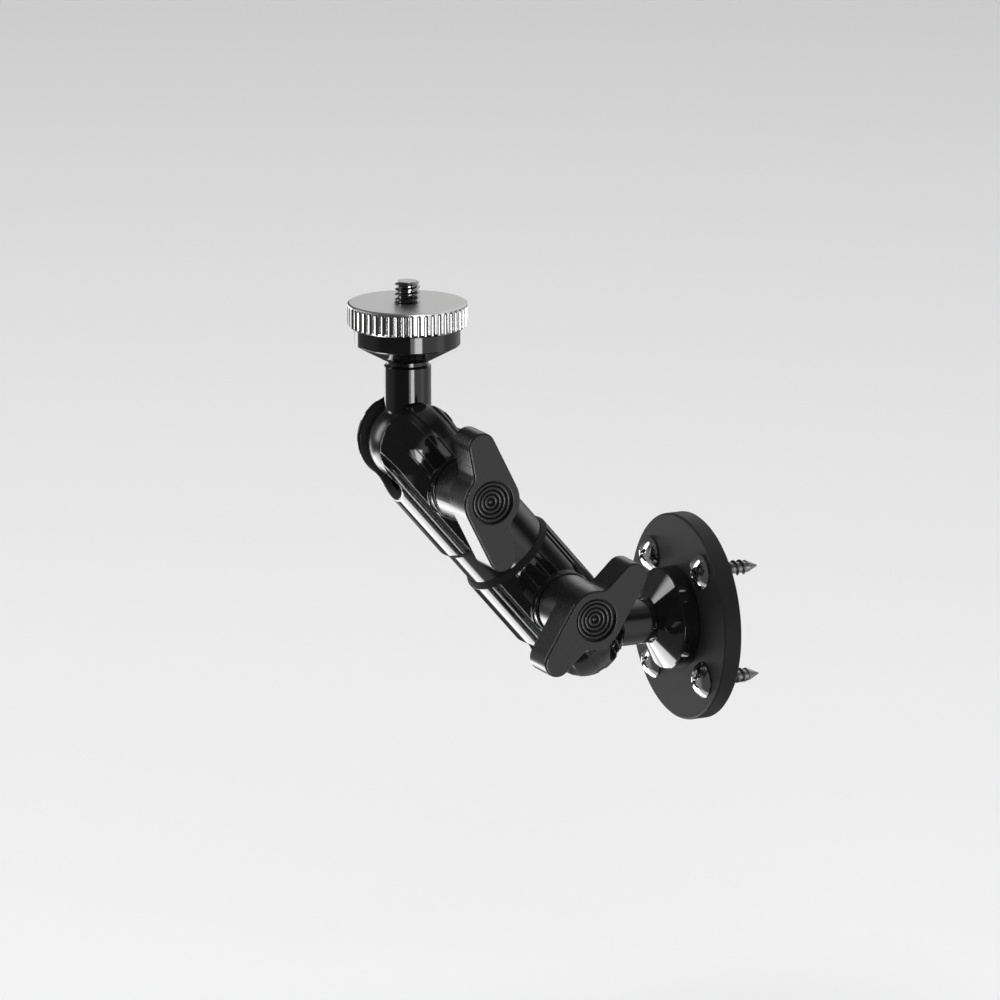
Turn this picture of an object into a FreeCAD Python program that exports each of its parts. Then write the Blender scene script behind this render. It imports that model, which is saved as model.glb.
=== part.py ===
"""Camera wall bracket: a screwed wall plate, an arm with a ball joint at each end, and a
camera screw with its lock nut. Millimetres. The origin is the centre of the plate's back
face, the wall is the plane y = 0, the bracket stands out towards -Y and +Z is up."""
import FreeCAD, Part
import math
import os
from FreeCAD import Placement, Rotation, Vector

# Wall plate and its screws
plate_radius = 26.8
plate_thickness = 4.8
plate_front_edge = 0.5
plate_back_edge = 0.25
screw_circle_radius = 20.0
screw_count = 4
screw_first_angle = 48.0
wall_screw_radius = 2.0
wall_screw_neck_radius = 1.7
wall_screw_length = 16.0
wall_screw_point = 4.0
wall_screw_head_radius = 4.6
wall_screw_rim = 0.4
wall_screw_dome = 2.4
wall_screw_hole_gap = 0.3
cross_recess_span = 4.6
cross_recess_width = 1.0
cross_recess_depth = 1.5

# Flange, one at each end
flange_radius = 13.2
flange_band = 4.5
flange_cone = 3.9
flange_cone_tip_radius = 6.0
flange_neck = 1.2
flange_neck_radius = 5.15
flange_edge = 0.3

# Ball stud, one at each end
ball_radius = 10.0
stem_radius = 5.9
stem_length = 19.85
stem_edge = 0.4
stem_root_fillet = 1.0
stem_hole_depth = 10.5

# Quarter-inch screws: the camera screw, and the countersunk screw behind the plate
camera_screw_radius = 3.175
camera_screw_depth = 10.0
camera_screw_reach = 5.4
camera_screw_tip = 0.7
camera_screw_waist = 0.8
camera_screw_waist_radius = 2.7
centre_head_radius = 5.9
centre_hex_radius = 2.3
centre_hex_depth = 2.2
flange_hole_gap = 0.1
running_gap = 0.05

# Lock nut
nut_radius = 15.0
nut_thickness = 6.2
nut_crown_width = 0.4
nut_crown_drop = 0.25
nut_bottom_edge = 0.7
flute_count = 51
flute_radius = 0.72
flute_centre_out = 0.2
flute_top_land = 0.45

# Arm: two like sockets and the coupling between them
arm_angle = 49.1
ball_distance = 71.55
socket_wall = 2.3
socket_end_bulge = 0.5
socket_end_blend = 30.0
socket_length = 31.0
socket_chamfer_length = 1.6
socket_chamfer_depth = 0.75
ball_gap = 0.2
slot_gap = 0.3
slot_end = 8.5
slot_edge = 0.8
groove_depth = 0.25
groove_bands = [(2.1, 4.0), (8.4, 9.4), (10.0, 10.65)]
boss_radius = 8.5
boss_rise = 0.7
boss_edge = 0.4
coupling_step = 0.9
spigot_length = 8.5
spigot_gap = 0.05
coupling_bore = 6.5

# Clamp: knob, its screw and the cup behind the ball
clamp_offset = 13.7
clamp_screw_radius = 2.5
taper_angle = 15.0
taper_start = 3.0
taper_length = 4.8
clamp_head_radius = 4.5
clamp_head_height = 3.2
cup_ball_gap = 0.1
cup_bore_gap = 0.1
cup_front = 8.5
cup_back = 19.0
cup_hole_gap = 0.45
cup_seat_gap = 0.06

knob_height = 17.3
knob_thickness = 9.0
knob_disc_radius = 7.65
knob_wing_reach = 14.55
knob_wing_radius = 3.7
knob_notch_fillet = 3.0
knob_edge = 0.6
knob_back_edge = 0.25
knob_lip_edge = 0.25
knob_hub_foot_radius = 8.1
knob_hub_edge = 0.8
knob_boss_gap = 0.3
upper_knob_angle = 101.2
lower_knob_angle = 43.0

cap_radius = 5.5
cap_thickness = 2.0
cap_fit_gap = 0.05
cap_sink = 0.5
cap_rim_width = 0.2
cap_ring_count = 4
cap_ring_pitch = 1.1
cap_ring_height = 0.35
cap_ring_drop = 0.15

# How far a cutter stands clear of what it cuts, and a foot reaches into what it joins
overlap = 1.0

# Derived places
flange_length = flange_band + flange_cone + flange_neck
lower_ball = Vector(0, -(plate_thickness + flange_length + stem_length), 0)
arm_direction = Vector(0, -math.cos(math.radians(arm_angle)), math.sin(math.radians(arm_angle)))
upper_ball = lower_ball + arm_direction * ball_distance
socket_bore_radius = ball_radius + ball_gap
socket_radius = socket_bore_radius + socket_wall
socket_end_radius = socket_radius + socket_end_bulge
slot_width = 2 * (stem_radius + slot_gap)
coupling_radius = socket_radius - coupling_step
boss_height = socket_radius + boss_rise
knob_face = boss_height + knob_height
knob_back = knob_face - knob_thickness
hub_start = boss_height + knob_boss_gap
clamp_head_top = knob_face - cap_sink - cap_thickness

# Frames: local +Z of each one points as its name says, and local +X is the world's
out_of_wall = Placement(Vector(0, 0, 0), Rotation(Vector(1, 0, 0), 90))
lower_stud_frame = Placement(lower_ball, Rotation(Vector(1, 0, 0), -90))
lower_socket_frame = Placement(lower_ball, Rotation(Vector(1, 0, 0), 90 - arm_angle))
upper_socket_frame = Placement(upper_ball, Rotation(Vector(1, 0, 0), 270 - arm_angle))
upper_stud_frame = Placement(upper_ball, Rotation())

Z = Vector(0, 0, 1)
X = Vector(1, 0, 0)
Y = Vector(0, 1, 0)


def turned(profile):
    """A solid of revolution about Z from (radius, height) points."""
    points = [Vector(radius, 0, height) for radius, height in profile]
    wire = Part.makePolygon(points + [points[0]])
    return Part.Face(wire).revolve(Vector(0, 0, 0), Z, 360)


def cylinder(radius, start, end, axis=Z, centre=Vector(0, 0, 0)):
    """A round bar along an axis, from one distance to another."""
    return Part.makeCylinder(radius, end - start, centre + axis * start, axis)


def cone(radius_start, radius_end, start, end, axis=Z, centre=Vector(0, 0, 0)):
    return Part.makeCone(radius_start, radius_end, end - start, centre + axis * start, axis)


def block(low, high):
    """A box between two corners."""
    size = high - low
    return Part.makeBox(size.x, size.y, size.z, low)


def placed(shape, frame):
    """The shape moved from its local frame to its place in the bracket."""
    copy = shape.copy()
    copy.Placement = frame.multiply(copy.Placement)
    return copy


def circle_edges(shape, radius, height):
    """The round edges about Z of one radius at one height."""
    found = []
    for edge in shape.Edges:
        if edge.Degenerated or not isinstance(edge.Curve, Part.Circle):
            continue
        curve = edge.Curve
        if abs(curve.Radius - radius) < 1e-4 and abs(curve.Center.z - height) < 1e-4:
            found.append(edge)
    return found


def screw_angles():
    return [screw_first_angle + 360.0 / screw_count * index for index in range(screw_count)]


def wall_plate():
    plate = cylinder(plate_radius, 0, plate_thickness)
    plate = plate.makeFillet(plate_front_edge, circle_edges(plate, plate_radius, plate_thickness))
    plate = plate.makeChamfer(plate_back_edge, circle_edges(plate, plate_radius, 0))
    hole_radius = wall_screw_radius + wall_screw_hole_gap
    for angle in screw_angles():
        turn = Rotation(Z, angle)
        centre = turn.multVec(X * screw_circle_radius)
        plate = plate.cut(cylinder(hole_radius, 0, plate_thickness, centre=centre))
    centre_radius = camera_screw_radius + flange_hole_gap
    plate = plate.cut(cylinder(centre_radius, 0, plate_thickness))
    head_depth = centre_head_radius - camera_screw_radius
    sink = cone(centre_head_radius + flange_hole_gap, centre_radius, 0, head_depth)
    return plate.cut(sink)


def cross_recess(top):
    """The cutter of a cross-shaped driver recess, open at the given height."""
    half = cross_recess_span / 2
    width = cross_recess_width / 2
    low = top - cross_recess_depth
    high = top + wall_screw_dome
    arm = block(Vector(-half, -width, low), Vector(half, width, high))
    other = arm.copy()
    other.rotate(Vector(0, 0, 0), Z, 90)
    return arm.fuse(other)


def wall_screw():
    """One round-head wood screw, with its head's underside at height 0. Its neck is thinner
    where it passes through the plate."""
    shank_end = wall_screw_length - wall_screw_point
    shank = cylinder(wall_screw_radius, -shank_end, -plate_thickness)
    neck = cylinder(wall_screw_neck_radius, -plate_thickness, 0)
    point = cone(0.2, wall_screw_radius, -wall_screw_length, -shank_end)
    rim = cylinder(wall_screw_head_radius, 0, wall_screw_rim)
    dome_radius = (wall_screw_head_radius ** 2 + wall_screw_dome ** 2) / (2 * wall_screw_dome)
    sphere = Part.makeSphere(dome_radius, Vector(0, 0, wall_screw_rim + wall_screw_dome - dome_radius))
    above = cylinder(wall_screw_head_radius, wall_screw_rim, wall_screw_rim + wall_screw_dome)
    dome = sphere.common(above)
    screw = shank.fuse([point, neck, rim, dome]).removeSplitter()
    return screw.cut(cross_recess(wall_screw_rim + wall_screw_dome))


def wall_screws():
    """The four screws as separate solids, standing on the plate's front face."""
    solids = []
    for angle in screw_angles():
        screw = wall_screw()
        screw.translate(X * screw_circle_radius + Z * plate_thickness)
        screw.rotate(Vector(0, 0, 0), Z, angle)
        solids.append(screw.Solids[0])
    return Part.makeCompound(solids)


def plate_centre_screw():
    """Countersunk screw, flush with the plate's back, reaching into the ball stud."""
    head_depth = centre_head_radius - camera_screw_radius
    end = plate_thickness + flange_length + camera_screw_depth
    screw = turned([
        (0, 0),
        (centre_head_radius, 0),
        (camera_screw_radius, head_depth),
        (camera_screw_radius, end - camera_screw_tip),
        (camera_screw_radius - camera_screw_tip, end),
        (0, end),
    ])
    corners = []
    for index in range(7):
        corners.append(Rotation(Z, 60 * index).multVec(X * centre_hex_radius))
    hexagon = Part.Face(Part.makePolygon(corners))
    return screw.cut(hexagon.extrude(Z * centre_hex_depth))


def flange():
    """The disc with its cone, from the stem's shoulder outwards along the stem."""
    start = stem_length
    cone_start = start + flange_neck
    band_start = cone_start + flange_cone
    end = start + flange_length
    bore = camera_screw_radius + flange_hole_gap
    return turned([
        (bore, start),
        (flange_neck_radius, start),
        (flange_neck_radius, cone_start),
        (flange_cone_tip_radius, cone_start),
        (flange_radius - flange_edge, band_start - flange_edge / 2),
        (flange_radius, band_start + flange_edge / 2),
        (flange_radius, end - flange_edge),
        (flange_radius - flange_edge, end),
        (bore, end),
    ])


def ball_stud():
    """Ball and stem in one, the stem along +Z, drilled from its end."""
    ball = Part.makeSphere(ball_radius)
    stem = cylinder(stem_radius, 0, stem_length)
    stud = ball.fuse(stem).removeSplitter()
    root = math.sqrt(ball_radius ** 2 - stem_radius ** 2)
    stud = stud.makeFillet(stem_root_fillet, circle_edges(stud, stem_radius, root))
    stud = stud.makeChamfer(stem_edge, circle_edges(stud, stem_radius, stem_length))
    hole = camera_screw_radius + running_gap
    return stud.cut(cylinder(hole, stem_length - stem_hole_depth, stem_length))


def rounded_body(radius, length):
    """A round bar along +Z with a half ball at its start."""
    return Part.makeSphere(radius).fuse(cylinder(radius, 0, length)).removeSplitter()


def barrel(depth):
    """The barrel with its slightly fuller ball end, all of it in by a depth. It is turned
    so that its seam lies in the slot, where the rim can be rounded."""
    radius = socket_radius - depth
    end_radius = socket_end_radius - depth
    blend = socket_end_blend
    across = radius + blend
    along = math.sqrt((end_radius + blend) ** 2 - across ** 2)
    share = end_radius / (end_radius + blend)
    slope = math.atan2(along, across)

    def at(distance, height):
        return Vector(distance, 0, height)

    def on_ball(angle):
        return at(end_radius * math.cos(angle), end_radius * math.sin(angle))

    pole = at(0, -end_radius)
    ball_end = at(across * share, along * share)
    blend_middle = at(across - blend * math.cos(slope / 2), along - blend * math.sin(slope / 2))
    blend_end = at(radius, along)
    edges = [
        Part.Arc(pole, on_ball((slope - math.pi / 2) / 2), ball_end).toShape(),
        Part.Arc(ball_end, blend_middle, blend_end).toShape(),
        Part.makePolygon([blend_end, at(radius, socket_length), at(0, socket_length), pole]),
    ]
    body = Part.Face(Part.Wire(edges)).revolve(Vector(0, 0, 0), Z, 360)
    body.rotate(Vector(0, 0, 0), Z, 90)
    return body


def socket_outside():
    """The barrel with the chamfer at its neck end."""
    chamfer_start = socket_length - socket_chamfer_length
    end_radius = socket_radius - socket_chamfer_depth
    taper = cone(socket_radius, end_radius, chamfer_start, socket_length)
    ring = cylinder(socket_radius + overlap, chamfer_start, socket_length).cut(taper)
    return barrel(0).cut(ring)


def groove_cutters():
    """Shallow grooves of one depth, along the barrel and over its ball end."""
    core = barrel(groove_depth)
    reach = socket_end_radius + overlap
    groove_end = socket_length - socket_chamfer_length
    cutters = []
    for side in (1, -1):
        for inner, outer in groove_bands:
            low, high = sorted((side * inner, side * outer))
            slab = block(Vector(-reach, low, -reach), Vector(reach, high, groove_end))
            cutters.append(slab.cut(core))
    return cutters


def slot_cutter():
    """The slot that the stem swings in, with a half-round end."""
    half = slot_width / 2
    reach = socket_end_radius + overlap
    centre = slot_end - half
    straight = block(Vector(-half, -reach, -reach), Vector(half, reach, centre))
    end = cylinder(half, -reach, reach, Y, Vector(0, 0, centre))
    return straight.fuse(end)


def slot_rim(body):
    """The slot's edges on the outer surface."""
    half = slot_width / 2
    centre = slot_end - half
    found = []
    for edge in body.Edges:
        if edge.Degenerated:
            continue
        point = edge.valueAt((edge.FirstParameter + edge.LastParameter) / 2)
        out = point if point.z < 0 else Vector(point.x, point.y, 0)
        on_outside = out.Length > socket_radius - groove_depth
        if point.z < centre:
            on_slot = abs(abs(point.x) - half) < 1e-3
        else:
            on_slot = abs(math.hypot(point.x, point.z - centre) - half) < 1e-3
        if on_outside and on_slot:
            found.append(edge)
    return found


def boss():
    """The round pad under the knob, reaching in to the clamp's axis."""
    clamp_centre = Vector(0, 0, clamp_offset)
    start = boss_height - boss_edge
    pad = cylinder(boss_radius, 0, start, X, clamp_centre)
    return pad.fuse(cone(boss_radius, boss_radius - boss_edge, start, boss_height, X, clamp_centre))


def socket():
    """The slotted barrel about its ball's centre, with the knob's boss on +X."""
    body = socket_outside().cut(slot_cutter())
    body = body.makeFillet(slot_edge, slot_rim(body))
    for cutter in groove_cutters():
        body = body.cut(cutter)
    body = body.fuse(boss())
    body = body.cut(rounded_body(socket_bore_radius, socket_length))
    body = body.cut(slot_cutter())
    thread = cylinder(clamp_screw_radius + running_gap, 0, boss_height, X,
                      Vector(0, 0, clamp_offset))
    return body.cut(thread)


def taper_radius(at):
    """The clamp screw's radius along its tapered tip."""
    return clamp_screw_radius - (taper_start - at) * math.tan(math.radians(taper_angle))


def thrust_cup():
    """The cup behind the ball, with a hole for the clamp screw's shank and tapered tip."""
    clamp_centre = Vector(0, 0, clamp_offset)
    cup = cylinder(socket_bore_radius - cup_bore_gap, cup_front, cup_back)
    cup = cup.cut(Part.makeSphere(ball_radius + cup_ball_gap))
    shank_radius = clamp_screw_radius + cup_hole_gap
    cup = cup.cut(cylinder(shank_radius, taper_start, socket_bore_radius, X, clamp_centre))
    tip = taper_start - taper_length
    end = tip - cup_hole_gap
    seat = cone(taper_radius(end) + cup_seat_gap, clamp_screw_radius + cup_seat_gap, end,
                taper_start, X, clamp_centre)
    return cup.cut(seat)


def clamp_screw():
    """Round-headed screw along +X at the clamp's place, its tapered tip inside the cup."""
    tip = taper_start - taper_length
    head_under = clamp_head_top - clamp_head_height
    clamp_centre = Vector(0, 0, clamp_offset)
    taper = cone(taper_radius(tip), clamp_screw_radius, tip, taper_start, X, clamp_centre)
    shank = cylinder(clamp_screw_radius, taper_start, head_under, X, clamp_centre)
    head = cylinder(clamp_head_radius, head_under, clamp_head_top - cap_fit_gap, X, clamp_centre)
    return taper.fuse([shank, head]).removeSplitter()


def knob_outline():
    """The two-winged outline in the YZ plane, with its first wing's tip along +Y."""
    disc = knob_disc_radius
    tip = knob_wing_radius
    reach = knob_wing_reach
    lean = math.asin((disc - tip) / reach)
    disc_point = Vector(0, disc * math.sin(lean), -disc * math.cos(lean))
    tip_start = Vector(0, reach + tip * math.sin(lean), -tip * math.cos(lean))
    tip_end = Vector(0, reach, tip)
    tip_middle = Vector(0, reach + tip, 0)
    notch_y = math.sqrt((disc + knob_notch_fillet) ** 2 - (tip + knob_notch_fillet) ** 2)
    notch_centre = Vector(0, notch_y, tip + knob_notch_fillet)
    notch_start = Vector(0, notch_y, tip)
    notch_end = notch_centre * (disc / (disc + knob_notch_fillet))
    towards = (notch_start + notch_end) * 0.5 - notch_centre
    notch_middle = notch_centre + towards.normalize() * knob_notch_fillet
    half_turn = Rotation(X, 180)
    opposite = half_turn.multVec(disc_point)
    disc_middle = (notch_end + opposite).normalize() * disc
    half = [
        ("line", disc_point, tip_start),
        ("arc", tip_start, tip_middle, tip_end),
        ("line", tip_end, notch_start),
        ("arc", notch_start, notch_middle, notch_end),
        ("arc", notch_end, disc_middle, opposite),
    ]
    edges = []
    for turn in (Rotation(), half_turn):
        for kind, *points in half:
            moved = [turn.multVec(point) for point in points]
            curve = Part.LineSegment(*moved) if kind == "line" else Part.Arc(*moved)
            edges.append(curve.toShape())
    return Part.Wire(Part.__sortEdges__(edges))


def edges_at(shape, x, radius=None):
    """The edges that lie in one plane across X, or only the circles of one radius there."""
    found = []
    for edge in shape.Edges:
        box = edge.BoundBox
        if abs(box.XMin - x) > 1e-3 or abs(box.XMax - x) > 1e-3:
            continue
        if radius is None or abs(getattr(edge.Curve, "Radius", 0) - radius) < 1e-3:
            found.append(edge)
    return found


def knob_hub():
    """The knob's neck, from its rounded foot into the back of its plate."""
    foot = cone(knob_hub_foot_radius, knob_disc_radius, hub_start, knob_back, X)
    foot = foot.makeFillet(knob_hub_edge, edges_at(foot, hub_start))
    return foot.fuse(cylinder(knob_disc_radius, knob_back, knob_back + overlap, X))


def knob(angle):
    """The knob about the X axis, its first wing at the given angle from +Y towards +Z."""
    plate = Part.Face(knob_outline()).extrude(X * knob_thickness)
    plate.translate(X * knob_back)
    plate = plate.makeFillet(knob_edge, edges_at(plate, knob_face))
    plate = plate.makeFillet(knob_back_edge, edges_at(plate, knob_back))
    body = plate.fuse(knob_hub()).removeSplitter()
    head_under = clamp_head_top - clamp_head_height
    body = body.cut(cylinder(clamp_screw_radius + running_gap, hub_start, head_under, X))
    body = body.cut(cylinder(clamp_head_radius + running_gap, head_under, clamp_head_top, X))
    body = body.cut(cylinder(cap_radius, clamp_head_top, knob_face, X))
    body = body.makeFillet(knob_lip_edge, edges_at(body, knob_face, cap_radius))
    body.rotate(Vector(0, 0, 0), X, angle)
    return body


def knob_cap():
    """The cap about the X axis: rounded rings that step down towards its centre."""
    face = knob_face - cap_sink
    rim = cap_radius - cap_fit_gap
    height = cap_ring_height

    def at(radius, level):
        return Vector(radius, 0, level)

    def line(start, end):
        return Part.LineSegment(start, end).toShape()

    outer = rim - cap_rim_width
    edges = [
        line(at(0, clamp_head_top), at(rim, clamp_head_top)),
        line(at(rim, clamp_head_top), at(rim, face - height)),
        line(at(rim, face - height), at(outer, face - height)),
    ]
    for index in range(cap_ring_count):
        inner = outer - cap_ring_pitch
        level = face - cap_ring_drop * index
        below = level - cap_ring_drop
        middle = at((outer + inner) / 2, level)
        ring = Part.Arc(at(outer, level - height), middle, at(inner, below - height))
        edges.append(ring.toShape())
        outer = inner
        face_here = below
    dome_radius = (outer ** 2 + height ** 2) / (2 * height)
    halfway = outer / 2
    rise = math.sqrt(dome_radius ** 2 - halfway ** 2) - dome_radius
    dome = Part.Arc(at(outer, face_here - height), at(halfway, face_here + rise), at(0, face_here))
    edges.append(dome.toShape())
    edges.append(line(at(0, face_here), at(0, clamp_head_top)))
    cap = Part.Face(Part.Wire(edges)).revolve(Vector(0, 0, 0), Z, 360)
    cap.rotate(Vector(0, 0, 0), Y, 90)
    return cap


def at_clamp(shape, frame):
    """A shape about the X axis, moved to the clamp's place on a socket. Its own turn about
    X is kept in the world's directions."""
    copy = shape.copy()
    copy.translate(frame.multVec(Vector(0, 0, clamp_offset)))
    return copy


def arm_coupling():
    """Sleeve between the sockets, in the lower socket's frame."""
    start = socket_length
    end = ball_distance - socket_length
    spigot_radius = socket_bore_radius - spigot_gap
    return turned([
        (coupling_bore, start - spigot_length),
        (spigot_radius, start - spigot_length),
        (spigot_radius, start),
        (coupling_radius, start),
        (coupling_radius, end),
        (spigot_radius, end),
        (spigot_radius, end + spigot_length),
        (coupling_bore, end + spigot_length),
    ])


def camera_screw():
    """Stud from inside the ball stud to above the lock nut, with a waist at the end of its
    free thread, inside the nut."""
    start = stem_length - camera_screw_depth
    nut_top = stem_length + flange_length + nut_thickness
    end = nut_top + camera_screw_reach
    tip_radius = camera_screw_radius - camera_screw_tip
    return turned([
        (0, start),
        (tip_radius, start),
        (camera_screw_radius, start + camera_screw_tip),
        (camera_screw_radius, nut_top - camera_screw_waist),
        (camera_screw_waist_radius, nut_top - camera_screw_waist),
        (camera_screw_waist_radius, nut_top),
        (camera_screw_radius, nut_top),
        (camera_screw_radius, end - camera_screw_tip),
        (tip_radius, end),
        (0, end),
    ])


def flute_cutter(start, end):
    """One rounded flute of the nut's rim, with a round top."""
    centre = X * (nut_radius + flute_centre_out)
    flute = cylinder(flute_radius, start, end, centre=centre)
    return flute.fuse(Part.makeSphere(flute_radius, centre + Z * end))


def thumb_nut():
    """Lock nut on the flange, with straight flutes below a plain top edge."""
    start = stem_length + flange_length
    end = start + nut_thickness
    bore = camera_screw_radius + running_gap
    nut = turned([
        (bore, start),
        (nut_radius - nut_bottom_edge, start),
        (nut_radius, start + nut_bottom_edge),
        (nut_radius, end - nut_crown_drop),
        (nut_radius - nut_crown_width, end),
        (bore, end),
    ])
    flute = flute_cutter(start, end - flute_top_land - flute_radius)
    cutters = []
    for index in range(flute_count):
        copy = flute.copy()
        copy.rotate(Vector(0, 0, 0), Z, 360.0 / flute_count * index)
        cutters.append(copy)
    return nut.cut(cutters)


def nodes():
    """Every piece by name, in its place."""
    pieces = {
        "wall_plate": placed(wall_plate(), out_of_wall),
        "wall_screws": placed(wall_screws(), out_of_wall),
        "plate_centre_screw": placed(plate_centre_screw(), out_of_wall),
        "arm_coupling": placed(arm_coupling(), lower_socket_frame),
        "camera_screw": placed(camera_screw(), upper_stud_frame),
        "thumb_nut": placed(thumb_nut(), upper_stud_frame),
    }
    ends = (
        ("lower", lower_stud_frame, lower_socket_frame, lower_knob_angle),
        ("upper", upper_stud_frame, upper_socket_frame, upper_knob_angle),
    )
    for end, stud_frame, socket_frame, knob_angle in ends:
        pieces[end + "_flange"] = placed(flange(), stud_frame)
        pieces[end + "_ball_stud"] = placed(ball_stud(), stud_frame)
        pieces[end + "_socket"] = placed(socket(), socket_frame)
        pieces[end + "_thrust_cup"] = placed(thrust_cup(), socket_frame)
        pieces[end + "_clamp_screw"] = placed(clamp_screw(), socket_frame)
        pieces[end + "_knob"] = at_clamp(knob(knob_angle), socket_frame)
        pieces[end + "_knob_cap"] = at_clamp(knob_cap(), socket_frame)
    return pieces


def main():
    os.makedirs("parts", exist_ok=True)
    for name, shape in nodes().items():
        shape.exportStep("parts/" + name + ".step")
        print(name, "valid", shape.isValid(), "solids", len(shape.Solids),
              "volume", round(shape.Volume, 1))


main()
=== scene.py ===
"""Looks of the camera wall bracket: its finishes, the screw threads, the light and the camera.
Metres, in the frame of the CAD model: the wall is the plane y = 0 and +Z is up."""

import bmesh
import bpy
import math
from mathutils import Matrix, Vector


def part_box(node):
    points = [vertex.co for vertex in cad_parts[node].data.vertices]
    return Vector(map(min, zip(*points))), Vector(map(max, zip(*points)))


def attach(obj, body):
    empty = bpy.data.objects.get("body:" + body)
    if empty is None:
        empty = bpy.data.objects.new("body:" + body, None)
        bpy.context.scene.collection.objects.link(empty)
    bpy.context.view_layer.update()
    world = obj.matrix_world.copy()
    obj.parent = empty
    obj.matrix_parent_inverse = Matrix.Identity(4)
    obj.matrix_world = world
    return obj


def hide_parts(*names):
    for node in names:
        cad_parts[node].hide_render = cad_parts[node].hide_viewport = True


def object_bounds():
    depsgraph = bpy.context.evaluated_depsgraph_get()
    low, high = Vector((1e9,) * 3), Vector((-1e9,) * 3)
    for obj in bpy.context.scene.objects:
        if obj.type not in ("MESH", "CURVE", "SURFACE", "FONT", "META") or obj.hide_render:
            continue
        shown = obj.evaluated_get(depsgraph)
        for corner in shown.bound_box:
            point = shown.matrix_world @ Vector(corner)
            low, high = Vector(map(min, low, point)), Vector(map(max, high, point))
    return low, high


MM = 0.001

# Shapes of the CAD model that the finishes follow
ARM_ANGLE = 49.1
BALL_DISTANCE = 71.55 * MM
LOWER_BALL_OUT = 34.25 * MM
BALL_RADIUS = 10.0 * MM
SLOT_HALF_WIDTH = 6.2 * MM
SOCKET_RADIUS = 12.5 * MM
SOCKET_LENGTH = 31.0 * MM
SOCKET_CHAMFER = 1.6 * MM
NUT_CROWN = 0.5 * MM
NUT_LAND = 0.2 * MM
PLATE_THICKNESS = 4.8 * MM

# Masks and noise in the finishes
MASK_MARGIN = 0.05 * MM
SOCKET_SKIN = 0.3 * MM
NOISE_LOW = 0.3
NOISE_HIGH = 0.7
# Painted shade on the thumb nut: the share of the light tone left on its top and in its flutes,
# where the side keeps all of it
PAINTED_TOP_TONE = 0.64
PAINTED_FLUTE_TONE = 0.05

# Camera screw
CAMERA_THREAD_PITCH = 1.27 * MM
CAMERA_THREAD_DEPTH = 0.75 * MM
CAMERA_SCREW_CHAMFER = 0.7 * MM

# Wall screws
SCREW_CIRCLE = 20.0 * MM
SCREW_FIRST_ANGLE = 48.0
SCREW_COUNT = 4
SCREW_LENGTH = 15.99 * MM
SCREW_POINT = 4.0 * MM
SCREW_TIP_RADIUS = 0.2 * MM
SCREW_RADIUS = 2.0 * MM
SCREW_NECK_RADIUS = 1.7 * MM
SCREW_NECK_OVERLAP = 0.1 * MM
SCREW_HEAD_RADIUS = 4.6 * MM
SCREW_HEAD_EDGE = 0.1 * MM
SCREW_RIM = 0.4 * MM
SCREW_DOME = 2.4 * MM
SCREW_DOME_STEPS = 20
WOOD_THREAD_PITCH = 1.8 * MM
WOOD_THREAD_DEPTH = 0.55 * MM
RECESS_DEPTH = 1.5 * MM
RECESS_BOTTOM_REACH = 1.25 * MM
RECESS_BOTTOM_WIDTH = 0.36 * MM
RECESS_TOP_REACH = 3.75 * MM
RECESS_TOP_WIDTH = 0.62 * MM
RECESS_CUTTER_RISE = 1.0 * MM

# Meshes
THREAD_STEP = 0.12
WELD_DISTANCE = 1e-7

# Camera and stage
CAMERA_AZIMUTH = 64.1665
CAMERA_ELEVATION = 13.513
CAMERA_DISTANCE = 1.76694
CAMERA_RIGHT = -0.049868
CAMERA_UP = 0.029478
CAMERA_LENS = 246.65
CAMERA_SENSOR = 36.0
FLOOR_BELOW_PLATE = 95 * MM
FLOOR_HALF_SIZE = 12.0

X = Vector((1, 0, 0))
Y = Vector((0, 1, 0))
Z = Vector((0, 0, 1))
ARM = Vector((0, -math.cos(math.radians(ARM_ANGLE)), math.sin(math.radians(ARM_ANGLE))))
LOWER_BALL = -Y * LOWER_BALL_OUT
UPPER_BALL = LOWER_BALL + ARM * BALL_DISTANCE


class Nodes:
    """Short calls for building a node tree."""

    def __init__(self, tree):
        self.tree = tree

    def node(self, kind, **settings):
        made = self.tree.nodes.new("ShaderNode" + kind)
        for name, value in settings.items():
            setattr(made, name, value)
        return made

    def link(self, output, target):
        self.tree.links.new(output, target)

    def math(self, operation, first, second=0.0):
        made = self.node("Math", operation=operation)
        for value, socket in zip((first, second), made.inputs):
            if isinstance(value, (int, float)):
                socket.default_value = value
            else:
                self.link(value, socket)
        return made.outputs["Value"]


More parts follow.
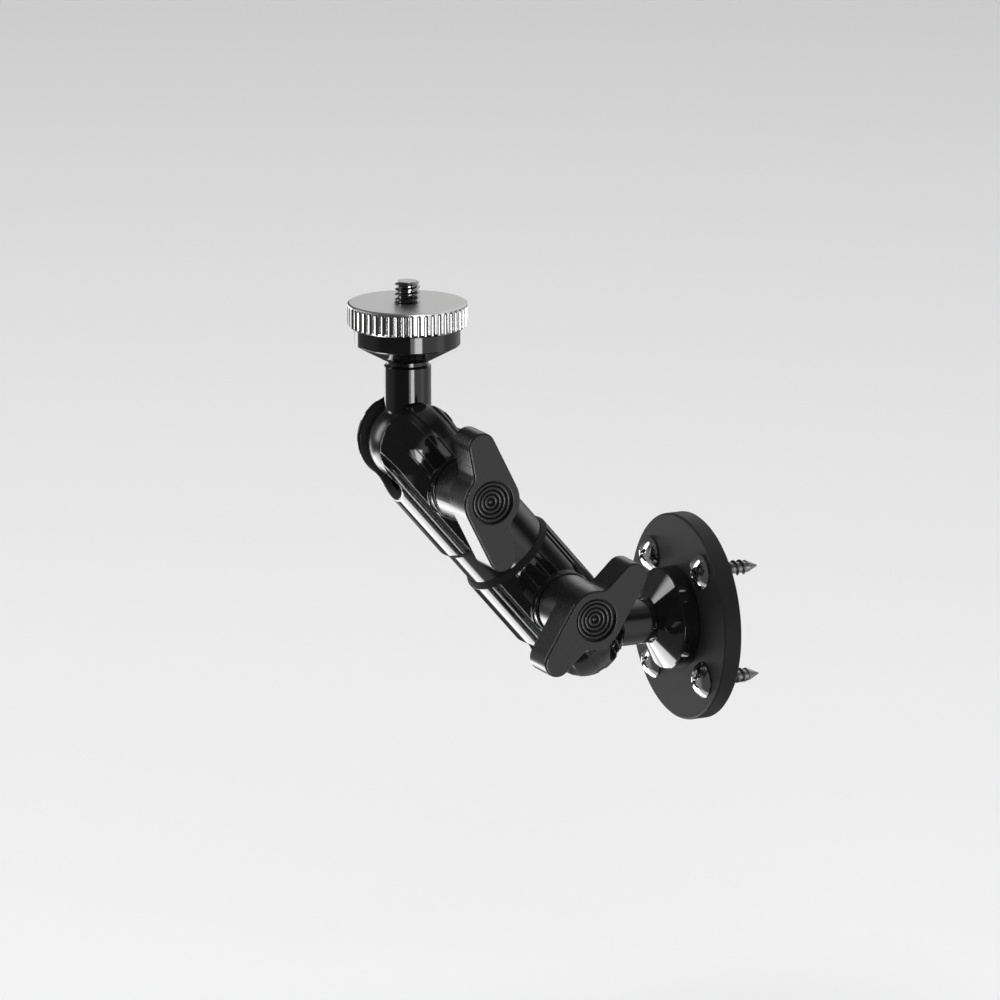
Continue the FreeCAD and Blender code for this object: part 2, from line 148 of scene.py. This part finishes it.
class Surface(Nodes):
    """A Principled material with short calls for the detail on it."""

    def __init__(self, name, color, roughness, metallic=0.0, **sockets):
        self.material = bpy.data.materials.new(name)
        self.material.use_nodes = True
        super().__init__(self.material.node_tree)
        self.shader = self.tree.nodes["Principled BSDF"]
        self.shader.inputs["Base Color"].default_value = (*color, 1.0)
        self.shader.inputs["Roughness"].default_value = roughness
        self.shader.inputs["Metallic"].default_value = metallic
        for socket, value in sockets.items():
            self.shader.inputs[socket.replace("_", " ")].default_value = value
        self.place = self.node("TexCoord").outputs["Object"]
        self.normal = None

    def offset(self, centre):
        """The way from a centre to a point."""
        made = self.node("VectorMath", operation="SUBTRACT")
        self.link(self.place, made.inputs[0])
        made.inputs[1].default_value = centre
        return made.outputs["Vector"]

    def length(self, vector):
        made = self.node("VectorMath", operation="LENGTH")
        self.link(vector, made.inputs[0])
        return made.outputs["Value"]

    def along(self, axis, centre=(0, 0, 0)):
        """How far a point lies along an axis."""
        dot = self.node("VectorMath", operation="DOT_PRODUCT")
        self.link(self.offset(centre), dot.inputs[0])
        dot.inputs[1].default_value = axis
        return dot.outputs["Value"]

    def around(self, centre, axis):
        """How far a point lies from a line."""
        across = self.node("VectorMath", operation="CROSS_PRODUCT")
        self.link(self.offset(centre), across.inputs[0])
        across.inputs[1].default_value = axis
        return self.length(across.outputs["Vector"])

    def below(self, values):
        """1 where every value is below its limit and 0 elsewhere."""
        found = 1.0
        for value, limit in values:
            found = self.math("MULTIPLY", found, self.math("LESS_THAN", value, limit))
        return found

    def grain(self, size, detail=2.0, where=None):
        """Noise whose features are about one size, over space or along one distance."""
        noise = self.node("TexNoise")
        noise.inputs["Detail"].default_value = detail
        noise.inputs["Scale"].default_value = 1 / size
        if where is None:
            self.link(self.place, noise.inputs["Vector"])
        else:
            noise.noise_dimensions = "1D"
            self.link(where, noise.inputs["W"])
        return noise.outputs["Fac"]

    def roughen(self, factor, low, high):
        """Lets a factor, noise or a mask, move the roughness between two values."""
        spread = self.node("MapRange")
        self.link(factor, spread.inputs["Value"])
        spread.inputs["From Min"].default_value = NOISE_LOW
        spread.inputs["From Max"].default_value = NOISE_HIGH
        spread.inputs["To Min"].default_value = low
        spread.inputs["To Max"].default_value = high
        self.link(spread.outputs["Result"], self.shader.inputs["Roughness"])

    def tint(self, factor, dark, light):
        """Lets a factor move the colour between two greys."""
        mix = self.node("MixRGB")
        self.link(factor, mix.inputs["Fac"])
        mix.inputs["Color1"].default_value = (*dark, 1.0)
        mix.inputs["Color2"].default_value = (*light, 1.0)
        self.link(mix.outputs["Color"], self.shader.inputs["Base Color"])

    def rounded(self, radius):
        """Shades sharp edges as if they were slightly rounded."""
        bevel = self.node("Bevel", samples=6)
        bevel.inputs["Radius"].default_value = radius
        self.normal = bevel.outputs["Normal"]
        self.link(self.normal, self.shader.inputs["Normal"])

    def bump(self, height, depth, strength=0.5):
        """Raises the surface by a height factor."""
        bump = self.node("Bump")
        bump.inputs["Strength"].default_value = strength
        bump.inputs["Distance"].default_value = depth
        self.link(height, bump.inputs["Height"])
        if self.normal is not None:
            self.link(self.normal, bump.inputs["Normal"])
        self.normal = bump.outputs["Normal"]
        self.link(self.normal, self.shader.inputs["Normal"])


def plate_coat():
    color = (0.016, 0.016, 0.0163)
    surface = Surface("plate_coat", color, 0.45, Specular_IOR_Level=0.1)
    surface.rounded(0.25 * MM)
    grain = surface.grain(0.28 * MM, detail=3.0)
    surface.roughen(grain, 0.4, 0.5)
    surface.bump(grain, 0.06 * MM, strength=0.9)
    return surface.material


def gloss_black():
    surface = Surface("gloss_black", (0.006, 0.006, 0.0061), 0.04)
    surface.rounded(0.2 * MM)
    surface.roughen(surface.grain(3 * MM), 0.03, 0.06)
    surface.bump(surface.grain(1.6 * MM, detail=0.0), 0.002 * MM)
    return surface.material


def socket_black(name, ball, inwards):
    """Gloss outside and matte on the slot's walls and the end's chamfer, which aren't polished."""
    gloss = (0.006, 0.006, 0.0061)
    wall = (0.02, 0.02, 0.0205)
    surface = Surface(name, gloss, 0.04)
    surface.rounded(0.45 * MM)
    across = surface.math("ABSOLUTE", surface.along(X))
    depth = surface.along(inwards, ball)
    inside = surface.below([(across, SLOT_HALF_WIDTH + MASK_MARGIN),
                            (surface.around(ball, inwards), SOCKET_RADIUS - SOCKET_SKIN),
                            (depth, BALL_RADIUS)])
    chamfer = surface.math("GREATER_THAN", depth, SOCKET_LENGTH - SOCKET_CHAMFER)
    surface.roughen(surface.math("MAXIMUM", inside, chamfer), 0.04, 0.8)
    surface.tint(inside, gloss, wall)
    surface.bump(surface.grain(1.6 * MM, detail=0.0), 0.002 * MM)
    return surface.material


def sleeve_black():
    surface = Surface("sleeve_black", (0.005, 0.005, 0.0051), 0.08)
    surface.rounded(0.12 * MM)
    tool_marks = surface.grain(0.12 * MM, 1.0, surface.along(ARM))
    surface.roughen(tool_marks, 0.1, 0.14)
    surface.bump(tool_marks, 0.0008 * MM)
    return surface.material


def stud_black(name, ball, axis):
    """A satin ball on a polished stem."""
    surface = Surface(name, (0.005, 0.005, 0.0051), 0.1)
    surface.rounded(0.1 * MM)
    tool_marks = surface.grain(0.15 * MM, 1.0, surface.along(axis))
    from_ball = surface.length(surface.offset(ball))
    on_ball = surface.below([(from_ball, BALL_RADIUS + MASK_MARGIN)])
    surface.roughen(on_ball, 0.1, 0.25)
    surface.bump(tool_marks, 0.001 * MM)
    return surface.material


def knob_plastic():
    surface = Surface("knob_plastic", (0.009, 0.009, 0.0093), 0.28)
    surface.rounded(0.12 * MM)
    surface.roughen(surface.grain(1.4 * MM), 0.26, 0.29)
    surface.bump(surface.grain(0.2 * MM), 0.01 * MM, strength=0.6)
    return surface.material


def cap_plastic():
    surface = Surface("cap_plastic", (0.006, 0.006, 0.0062), 0.3)
    surface.roughen(surface.grain(0.8 * MM), 0.25, 0.35)
    surface.bump(surface.grain(0.14 * MM, detail=1.0), 0.008 * MM)
    return surface.material


def screw_chrome():
    """Bright on the heads and dull on the shanks."""
    shank = (0.3, 0.3, 0.3)
    bright = (0.66, 0.66, 0.67)
    surface = Surface("screw_chrome", bright, 0.1, metallic=1.0)
    head = surface.below([(surface.along(Y), -PLATE_THICKNESS / 2)])
    surface.roughen(head, 0.42, 0.09)
    surface.tint(head, shank, bright)
    surface.bump(surface.grain(0.5 * MM, detail=3.0), 0.006 * MM)
    return surface.material


def screw_steel():
    surface = Surface("screw_steel", (0.26, 0.26, 0.26), 0.13, metallic=1.0)
    surface.roughen(surface.grain(0.4 * MM), 0.08, 0.18)
    surface.bump(surface.grain(0.3 * MM, detail=3.0), 0.004 * MM)
    return surface.material


def nut_metal(low, high):
    """Satin on the turned top and bright on the side, with painted shade: the top is painted a
    little darker than the side and the flutes much darker.
    """
    centre = (low + high) / 2
    radius = (high.x - low.x) / 2
    surface = Surface("nut_metal", (0.62, 0.62, 0.615), 0.3, metallic=1.0)
    surface.rounded(0.08 * MM)
    out = surface.around(centre, Z)
    tool_marks = surface.grain(0.09 * MM, 1.0, out)
    under_crown = (surface.along(Z), high.z - NUT_CROWN)
    side = surface.below([under_crown])
    flute = surface.below([under_crown, (out, radius - NUT_LAND)])
    surface.roughen(side, 0.38, 0.12)
    # Painted shade: the top a little darker than the side, and the flutes much darker
    tone_and_painted_shade = surface.math("ADD", surface.math("MULTIPLY", side, 1 - PAINTED_TOP_TONE), PAINTED_TOP_TONE)
    painted_flute_shade = surface.math("MULTIPLY", flute, 1 - PAINTED_FLUTE_TONE)
    tone_and_painted_shade = surface.math("SUBTRACT", tone_and_painted_shade, painted_flute_shade)
    surface.tint(tone_and_painted_shade, dark=(0.24, 0.24, 0.24), light=(0.74, 0.74, 0.735))
    surface.bump(tool_marks, 0.001 * MM)
    return surface.material


def cup_plastic():
    surface = Surface("cup_plastic", (0.006, 0.006, 0.0062), 0.45)
    tool_marks = surface.grain(0.2 * MM, 1.0, surface.along(ARM))
    surface.roughen(tool_marks, 0.4, 0.55)
    surface.bump(tool_marks, 0.003 * MM)
    return surface.material


def thread_height(turns, profile):
    """The radius at a place along the thread, counted in turns, from (place, radius) points."""
    place = turns % 1.0
    for (start, low), (end, high) in zip(profile, profile[1:]):
        if place <= end:
            share = (place - start) / (end - start)
            return low + (high - low) * share
    return profile[-1][1]


def threaded_rod(profile, pitch, start, end, limit, steps=64):
    """A rod along +Z from start to end with a right-hand thread. The profile gives the radius
    over one turn and limit gives the largest radius at a height, which shapes the ends."""
    places = []
    for (here, _), (there, _) in zip(profile, profile[1:]):
        count = max(1, math.ceil((there - here) / THREAD_STEP))
        places += [here + (there - here) * index / count for index in range(count)]
    first = math.floor(start / pitch) - 1
    last = math.ceil(end / pitch) + 1
    rows = [turn + place for turn in range(first, last + 1) for place in places]
    mesh = bmesh.new()
    grid = []
    for step in range(steps):
        angle = 2 * math.pi * step / steps
        column = []
        for row in rows:
            height = min(max((row + step / steps) * pitch, start), end)
            radius = thread_height(height / pitch - step / steps, profile)
            radius = min(radius, limit(height))
            place = (radius * math.cos(angle), radius * math.sin(angle), height)
            column.append(mesh.verts.new(place))
        grid.append(column)
    for step in range(steps):
        here = grid[step]
        there = grid[(step + 1) % steps]
        shift = 0 if step + 1 < steps else len(places)
        for row in range(len(rows) - 1 - shift):
            corners = (here[row + shift], there[row], there[row + 1], here[row + 1 + shift])
            mesh.faces.new(corners)
    bmesh.ops.remove_doubles(mesh, verts=mesh.verts, dist=WELD_DISTANCE)
    edges = [edge for edge in mesh.edges if edge.is_boundary]
    bmesh.ops.holes_fill(mesh, edges=edges)
    return mesh


def into_object(mesh, name, material, smooth_angle=35.0):
    """Makes an object of a bmesh, smooth but for its sharp edges."""
    data = bpy.data.meshes.new(name)
    bmesh.ops.recalc_face_normals(mesh, faces=mesh.faces)
    mesh.to_mesh(data)
    mesh.free()
    data.materials.append(material)
    made = bpy.data.objects.new(name, data)
    bpy.context.scene.collection.objects.link(made)
    data.shade_smooth()
    data.set_sharp_from_angle(angle=math.radians(smooth_angle))
    return made


def turned(points, steps=64):
    """A body turned about +Z from (radius, height) points that start and end on the axis."""
    mesh = bmesh.new()
    rings = []
    for radius, height in points:
        ring = []
        for step in range(steps):
            angle = 2 * math.pi * step / steps
            place = (radius * math.cos(angle), radius * math.sin(angle), height)
            ring.append(mesh.verts.new(place))
        rings.append(ring)
    for low, high in zip(rings, rings[1:]):
        for step in range(steps):
            after = (step + 1) % steps
            mesh.faces.new((low[step], low[after], high[after], high[step]))
    bmesh.ops.remove_doubles(mesh, verts=mesh.verts, dist=WELD_DISTANCE)
    return mesh


def cross_corners(reach, width, height):
    """The twelve corners of a cross, going round, from the reach and half width of its arms."""
    corners = []
    for quarter in range(4):
        turn = Matrix.Rotation(math.radians(90 * quarter), 3, "Z")
        for place in ((reach, -width, height), (reach, width, height), (width, width, height)):
            corners.append(turn @ Vector(place))
    return corners


def recess_cutter(top):
    """A tapered cross that cuts the driver's recess in a head of that height."""
    mesh = bmesh.new()
    high = cross_corners(RECESS_TOP_REACH, RECESS_TOP_WIDTH, top + RECESS_CUTTER_RISE)
    low = cross_corners(RECESS_BOTTOM_REACH, RECESS_BOTTOM_WIDTH, top - RECESS_DEPTH)
    upper = [mesh.verts.new(corner) for corner in high]
    lower = [mesh.verts.new(corner) for corner in low]
    mesh.faces.new(upper)
    mesh.faces.new(reversed(lower))
    for index in range(len(upper)):
        after = (index + 1) % len(upper)
        mesh.faces.new((lower[index], lower[after], upper[after], upper[index]))
    return mesh


def carved(body, cutter):
    """The mesh of one piece with another cut away; neither piece is kept."""
    cut = body.modifiers.new("cut", "BOOLEAN")
    cut.operation = "DIFFERENCE"
    cut.solver = "EXACT"
    cut.object = cutter
    ready = body.evaluated_get(bpy.context.evaluated_depsgraph_get())
    data = bpy.data.meshes.new_from_object(ready)
    bpy.data.objects.remove(body)
    bpy.data.objects.remove(cutter)
    return data


def wall_screw_head(material):
    """The round head with its recess and the neck in the plate; the head stands on height 0."""
    top = SCREW_RIM + SCREW_DOME
    dome_radius = (SCREW_HEAD_RADIUS ** 2 + SCREW_DOME ** 2) / (2 * SCREW_DOME)
    half_angle = math.asin(SCREW_HEAD_RADIUS / dome_radius)
    points = [(0, -PLATE_THICKNESS),
              (SCREW_NECK_RADIUS, -PLATE_THICKNESS),
              (SCREW_NECK_RADIUS, 0),
              (SCREW_HEAD_RADIUS - SCREW_HEAD_EDGE, 0),
              (SCREW_HEAD_RADIUS, SCREW_HEAD_EDGE)]
    for step in range(SCREW_DOME_STEPS + 1):
        angle = half_angle * (1 - step / SCREW_DOME_STEPS)
        drop = dome_radius * (1 - math.cos(angle))
        points.append((dome_radius * math.sin(angle), top - drop))
    body = into_object(turned(points), "screw_head", material)
    return carved(body, into_object(recess_cutter(top), "recess", material))


def wall_screw_thread():
    """The threaded shank behind the plate, down to its point."""
    root = SCREW_RADIUS - WOOD_THREAD_DEPTH
    profile = [(0.0, root), (0.4, root), (0.66, SCREW_RADIUS), (0.72, SCREW_RADIUS),
               (0.95, root), (1.0, root)]
    end = -PLATE_THICKNESS + SCREW_NECK_OVERLAP
    slope = (SCREW_RADIUS - SCREW_TIP_RADIUS) / SCREW_POINT

    def limit(height):
        point = SCREW_TIP_RADIUS + (height + SCREW_LENGTH) * slope
        shoulder = SCREW_NECK_RADIUS - SCREW_NECK_OVERLAP + (end - height)
        return min(SCREW_RADIUS, point, shoulder)

    return threaded_rod(profile, WOOD_THREAD_PITCH, -SCREW_LENGTH, end, limit, steps=48)


def wall_screws(material):
    """The four wall screws as one piece, in place of the plain ones."""
    head = wall_screw_head(material)
    thread = bpy.data.meshes.new("screw_thread")
    wall_screw_thread().to_mesh(thread)
    joined = bmesh.new()
    for index in range(SCREW_COUNT):
        angle = math.radians(SCREW_FIRST_ANGLE + 360 / SCREW_COUNT * index)
        place = (Matrix.Rotation(math.radians(90), 4, "X") @ Matrix.Rotation(angle, 4, "Z")
                 @ Matrix.Translation((SCREW_CIRCLE, 0, PLATE_THICKNESS)))
        for part in (head, thread):
            start = len(joined.verts)
            joined.from_mesh(part)
            joined.verts.ensure_lookup_table()
            bmesh.ops.transform(joined, matrix=place, verts=joined.verts[start:])
    piece = into_object(joined, "wall_screws_detail", material, smooth_angle=30.0)
    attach(piece, "wall_plate")
    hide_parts("wall_screws")


def camera_screw(material):
    """The camera screw with its quarter-inch thread, in place of the plain stud."""
    low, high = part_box("camera_screw")
    centre = (low + high) / 2
    crest = (high.x - low.x) / 2
    root = crest - CAMERA_THREAD_DEPTH
    profile = [(0.0, root), (0.14, root), (0.46, crest), (0.6, crest), (0.92, root), (1.0, root)]

    def limit(height):
        to_end = min(high.z - height, height - low.z)
        return min(crest, crest - CAMERA_SCREW_CHAMFER + to_end)

    mesh = threaded_rod(profile, CAMERA_THREAD_PITCH, low.z, high.z, limit)
    bmesh.ops.translate(mesh, verts=mesh.verts, vec=(centre.x, centre.y, 0))
    piece = into_object(mesh, "camera_screw_thread", material)
    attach(piece, "head")
    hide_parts("camera_screw")


def finishes():
    """The material of every CAD node by name."""
    gloss = gloss_black()
    knob = knob_plastic()
    cap = cap_plastic()
    steel = screw_steel()
    cup = cup_plastic()
    found = {
        "wall_plate": plate_coat(),
        "wall_screws": screw_chrome(),
        "plate_centre_screw": steel,
        "arm_coupling": sleeve_black(),
        "camera_screw": steel,
        "thumb_nut": nut_metal(*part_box("thumb_nut")),
        "lower_ball_stud": stud_black("lower_stud_black", LOWER_BALL, Y),
        "upper_ball_stud": stud_black("upper_stud_black", UPPER_BALL, Z),
        "lower_socket": socket_black("lower_socket_black", LOWER_BALL, ARM),
        "upper_socket": socket_black("upper_socket_black", UPPER_BALL, -ARM),
    }
    for end in ("lower", "upper"):
        found[end + "_flange"] = gloss
        found[end + "_thrust_cup"] = cup
        found[end + "_clamp_screw"] = steel
        found[end + "_knob"] = knob
        found[end + "_knob_cap"] = cap
    return found


def camera():
    azimuth = math.radians(CAMERA_AZIMUTH)
    elevation = math.radians(CAMERA_ELEVATION)
    back = Vector((math.sin(azimuth) * math.cos(elevation),
                   -math.cos(azimuth) * math.cos(elevation),
                   math.sin(elevation)))
    right = Vector((math.cos(azimuth), math.sin(azimuth), 0))
    up = back.cross(right)
    data = bpy.data.cameras.new("camera")
    data.lens = CAMERA_LENS
    data.sensor_width = CAMERA_SENSOR
    made = bpy.data.objects.new("camera", data)
    bpy.context.scene.collection.objects.link(made)
    turn = Matrix((right, up, back)).transposed().to_4x4()
    place = back * CAMERA_DISTANCE + right * CAMERA_RIGHT + up * CAMERA_UP
    made.matrix_world = Matrix.Translation(place) @ turn
    bpy.context.scene.camera = made


def floor(height):
    mesh = bmesh.new()
    bmesh.ops.create_grid(mesh, x_segments=8, y_segments=8, size=FLOOR_HALF_SIZE)
    bmesh.ops.translate(mesh, verts=mesh.verts, vec=(0, 0, height))
    pale = Surface("pale_floor", (0.86, 0.86, 0.86), 0.8)
    made = into_object(mesh, "floor", pale.material)
    made.visible_glossy = False


def soft_box(name, target, place, size, power):
    """A square area light at a place, facing a point. The gloss doesn't reflect it."""
    data = bpy.data.lights.new(name, "AREA")
    data.shape = "RECTANGLE"
    data.size = size
    data.size_y = size
    data.energy = power
    made = bpy.data.objects.new(name, data)
    bpy.context.scene.collection.objects.link(made)
    made.location = place
    made.rotation_euler = (Vector(target) - Vector(place)).to_track_quat("-Z", "Y").to_euler()
    made.visible_glossy = False


def towards(longitude, latitude):
    """A direction in degrees: round the object, 0 in front and 90 at +X, and above level."""
    turn = math.radians(longitude)
    rise = math.radians(latitude)
    return Vector((math.sin(turn) * math.cos(rise),
                   -math.cos(turn) * math.cos(rise),
                   math.sin(rise)))


class Surroundings(Nodes):
    """The studio that the gloss reflects: soft-edged patches of light by direction."""

    def __init__(self, strength):
        made = bpy.data.worlds.new("studio")
        bpy.context.scene.world = made
        made.use_nodes = True
        super().__init__(made.node_tree)
        self.background = self.tree.nodes["Background"]
        self.background.inputs["Color"].default_value = (1, 1, 1, 1)
        self.direction = self.node("TexCoord").outputs["Generated"]
        self.total = self.node("Value").outputs["Value"]
        self.total.default_value = strength
        self.link(self.total, self.background.inputs["Strength"])

    def edge(self, normal, place, softness):
        """0 on one side of a plane across a direction and 1 on the other, with a soft edge."""
        dot = self.node("VectorMath", operation="DOT_PRODUCT")
        self.link(self.direction, dot.inputs[0])
        dot.inputs[1].default_value = normal
        spread = self.node("MapRange", interpolation_type="SMOOTHSTEP")
        self.link(dot.outputs["Value"], spread.inputs["Value"])
        spread.inputs["From Min"].default_value = place - softness / 2
        spread.inputs["From Max"].default_value = place + softness / 2
        return spread.outputs["Result"]

    def patch(self, strength, edges):
        """Adds light where all of the soft edges hold."""
        found = strength
        for normal, place, softness in edges:
            found = self.math("MULTIPLY", found, self.edge(normal, place, softness))
        self.total = self.math("ADD", self.total, found)
        self.link(self.total, self.background.inputs["Strength"])


def between(first, second, inside):
    """The plane through two directions, with the given one on its bright side."""
    normal = first.cross(second).normalized()
    return normal if normal.dot(inside) > 0 else -normal


def dim_patches(room):
    """The room itself: the glow before the plate and that before the knobs, the lower and the
    upper wall, the ground, the ceiling and a small round lamp, in that order."""
    room.patch(0.18, [(towards(320, -13), 0.8, 0.2)])
    room.patch(0.9, [(towards(120, -13), 0.86, 0.2)])
    room.patch(0.5, [(Y, 0.68, 0.3), (-Z, 0.0, 0.2), (Z, -0.75, 0.2)])
    room.patch(1.0, [(-X, 0.0, 0.6), (Y, 0.3, 0.3), (Z, 0.1, 0.3)])
    room.patch(0.5, [(-Z, 0.68, 0.2), (-towards(56, 0), -0.35, 0.15)])
    room.patch(0.3, [(Z, 0.7, 0.3), (Y, 0.0, 0.3)])
    room.patch(2.8, [(towards(274, -20), 0.972, 0.014)])


def low_panel(room):
    """The window panel low on the left."""
    middle = towards(298, -50)
    near = between(towards(279, -30), towards(279, -60), middle)
    far = between(towards(323, -38), towards(309, -62), middle)
    room.patch(7.6, [(near, 0, 0.06), (far, 0, 0.06), (-Z, 0.42, 0.1), (Z, -0.9, 0.04)])


def high_panel(room):
    """The window panel on the left, level with the object."""
    middle = towards(320, 16)
    near = between(towards(309, 0), towards(309, 40), middle)
    far = between(towards(334, 0), towards(334, 40), middle)
    room.patch(6.0, [(near, 0.12, 0.26), (far, 0, 0.06), (Z, -0.02, 0.12), (-Z, -0.6, 0.12)])


def narrow_lamp(room):
    """The upright lamp on the right, with a dimmer rim on one side."""
    middle = towards(88, -20)
    near = between(towards(81, -13), towards(89, -36), middle)
    far = between(towards(97, -13), towards(99, -36), middle)
    rim = between(towards(72, -13), towards(85, -36), middle)
    for strength, side, softness in ((9.0, near, 0.08), (3.0, rim, 0.06)):
        room.patch(strength, [(side, 0, softness), (far, 0, 0.06),
                              (-Z, 0.14, 0.04), (Z, -0.62, 0.06)])


def studio():
    """A dark room with a pale wall behind, two window panels on the left, one narrow lamp and
    two soft boxes."""
    room = Surroundings(0.08)
    dim_patches(room)
    low_panel(room)
    high_panel(room)
    narrow_lamp(room)
    soft_box("fill", target=(0, -0.05, 0.03), place=(1.6, -0.5, 0.9), size=1.2, power=10)
    soft_box("overhead", target=(0, 0, 0), place=(0.0, -0.5, 2.2), size=2.0, power=37)


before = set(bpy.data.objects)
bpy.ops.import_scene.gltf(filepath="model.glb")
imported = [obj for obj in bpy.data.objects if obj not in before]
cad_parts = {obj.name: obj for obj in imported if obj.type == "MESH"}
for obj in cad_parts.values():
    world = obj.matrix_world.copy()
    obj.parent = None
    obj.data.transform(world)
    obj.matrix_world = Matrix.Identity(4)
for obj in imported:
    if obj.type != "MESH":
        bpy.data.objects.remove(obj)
cad_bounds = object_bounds()
materials = finishes()
for name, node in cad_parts.items():
    node.data.materials.clear()
    node.data.materials.append(materials[name])
camera_screw(materials["camera_screw"])
wall_screws(materials["wall_screws"])
camera()
floor(cad_bounds[0].z - FLOOR_BELOW_PLATE)
studio()
bpy.context.scene.view_settings.view_transform = "Standard"
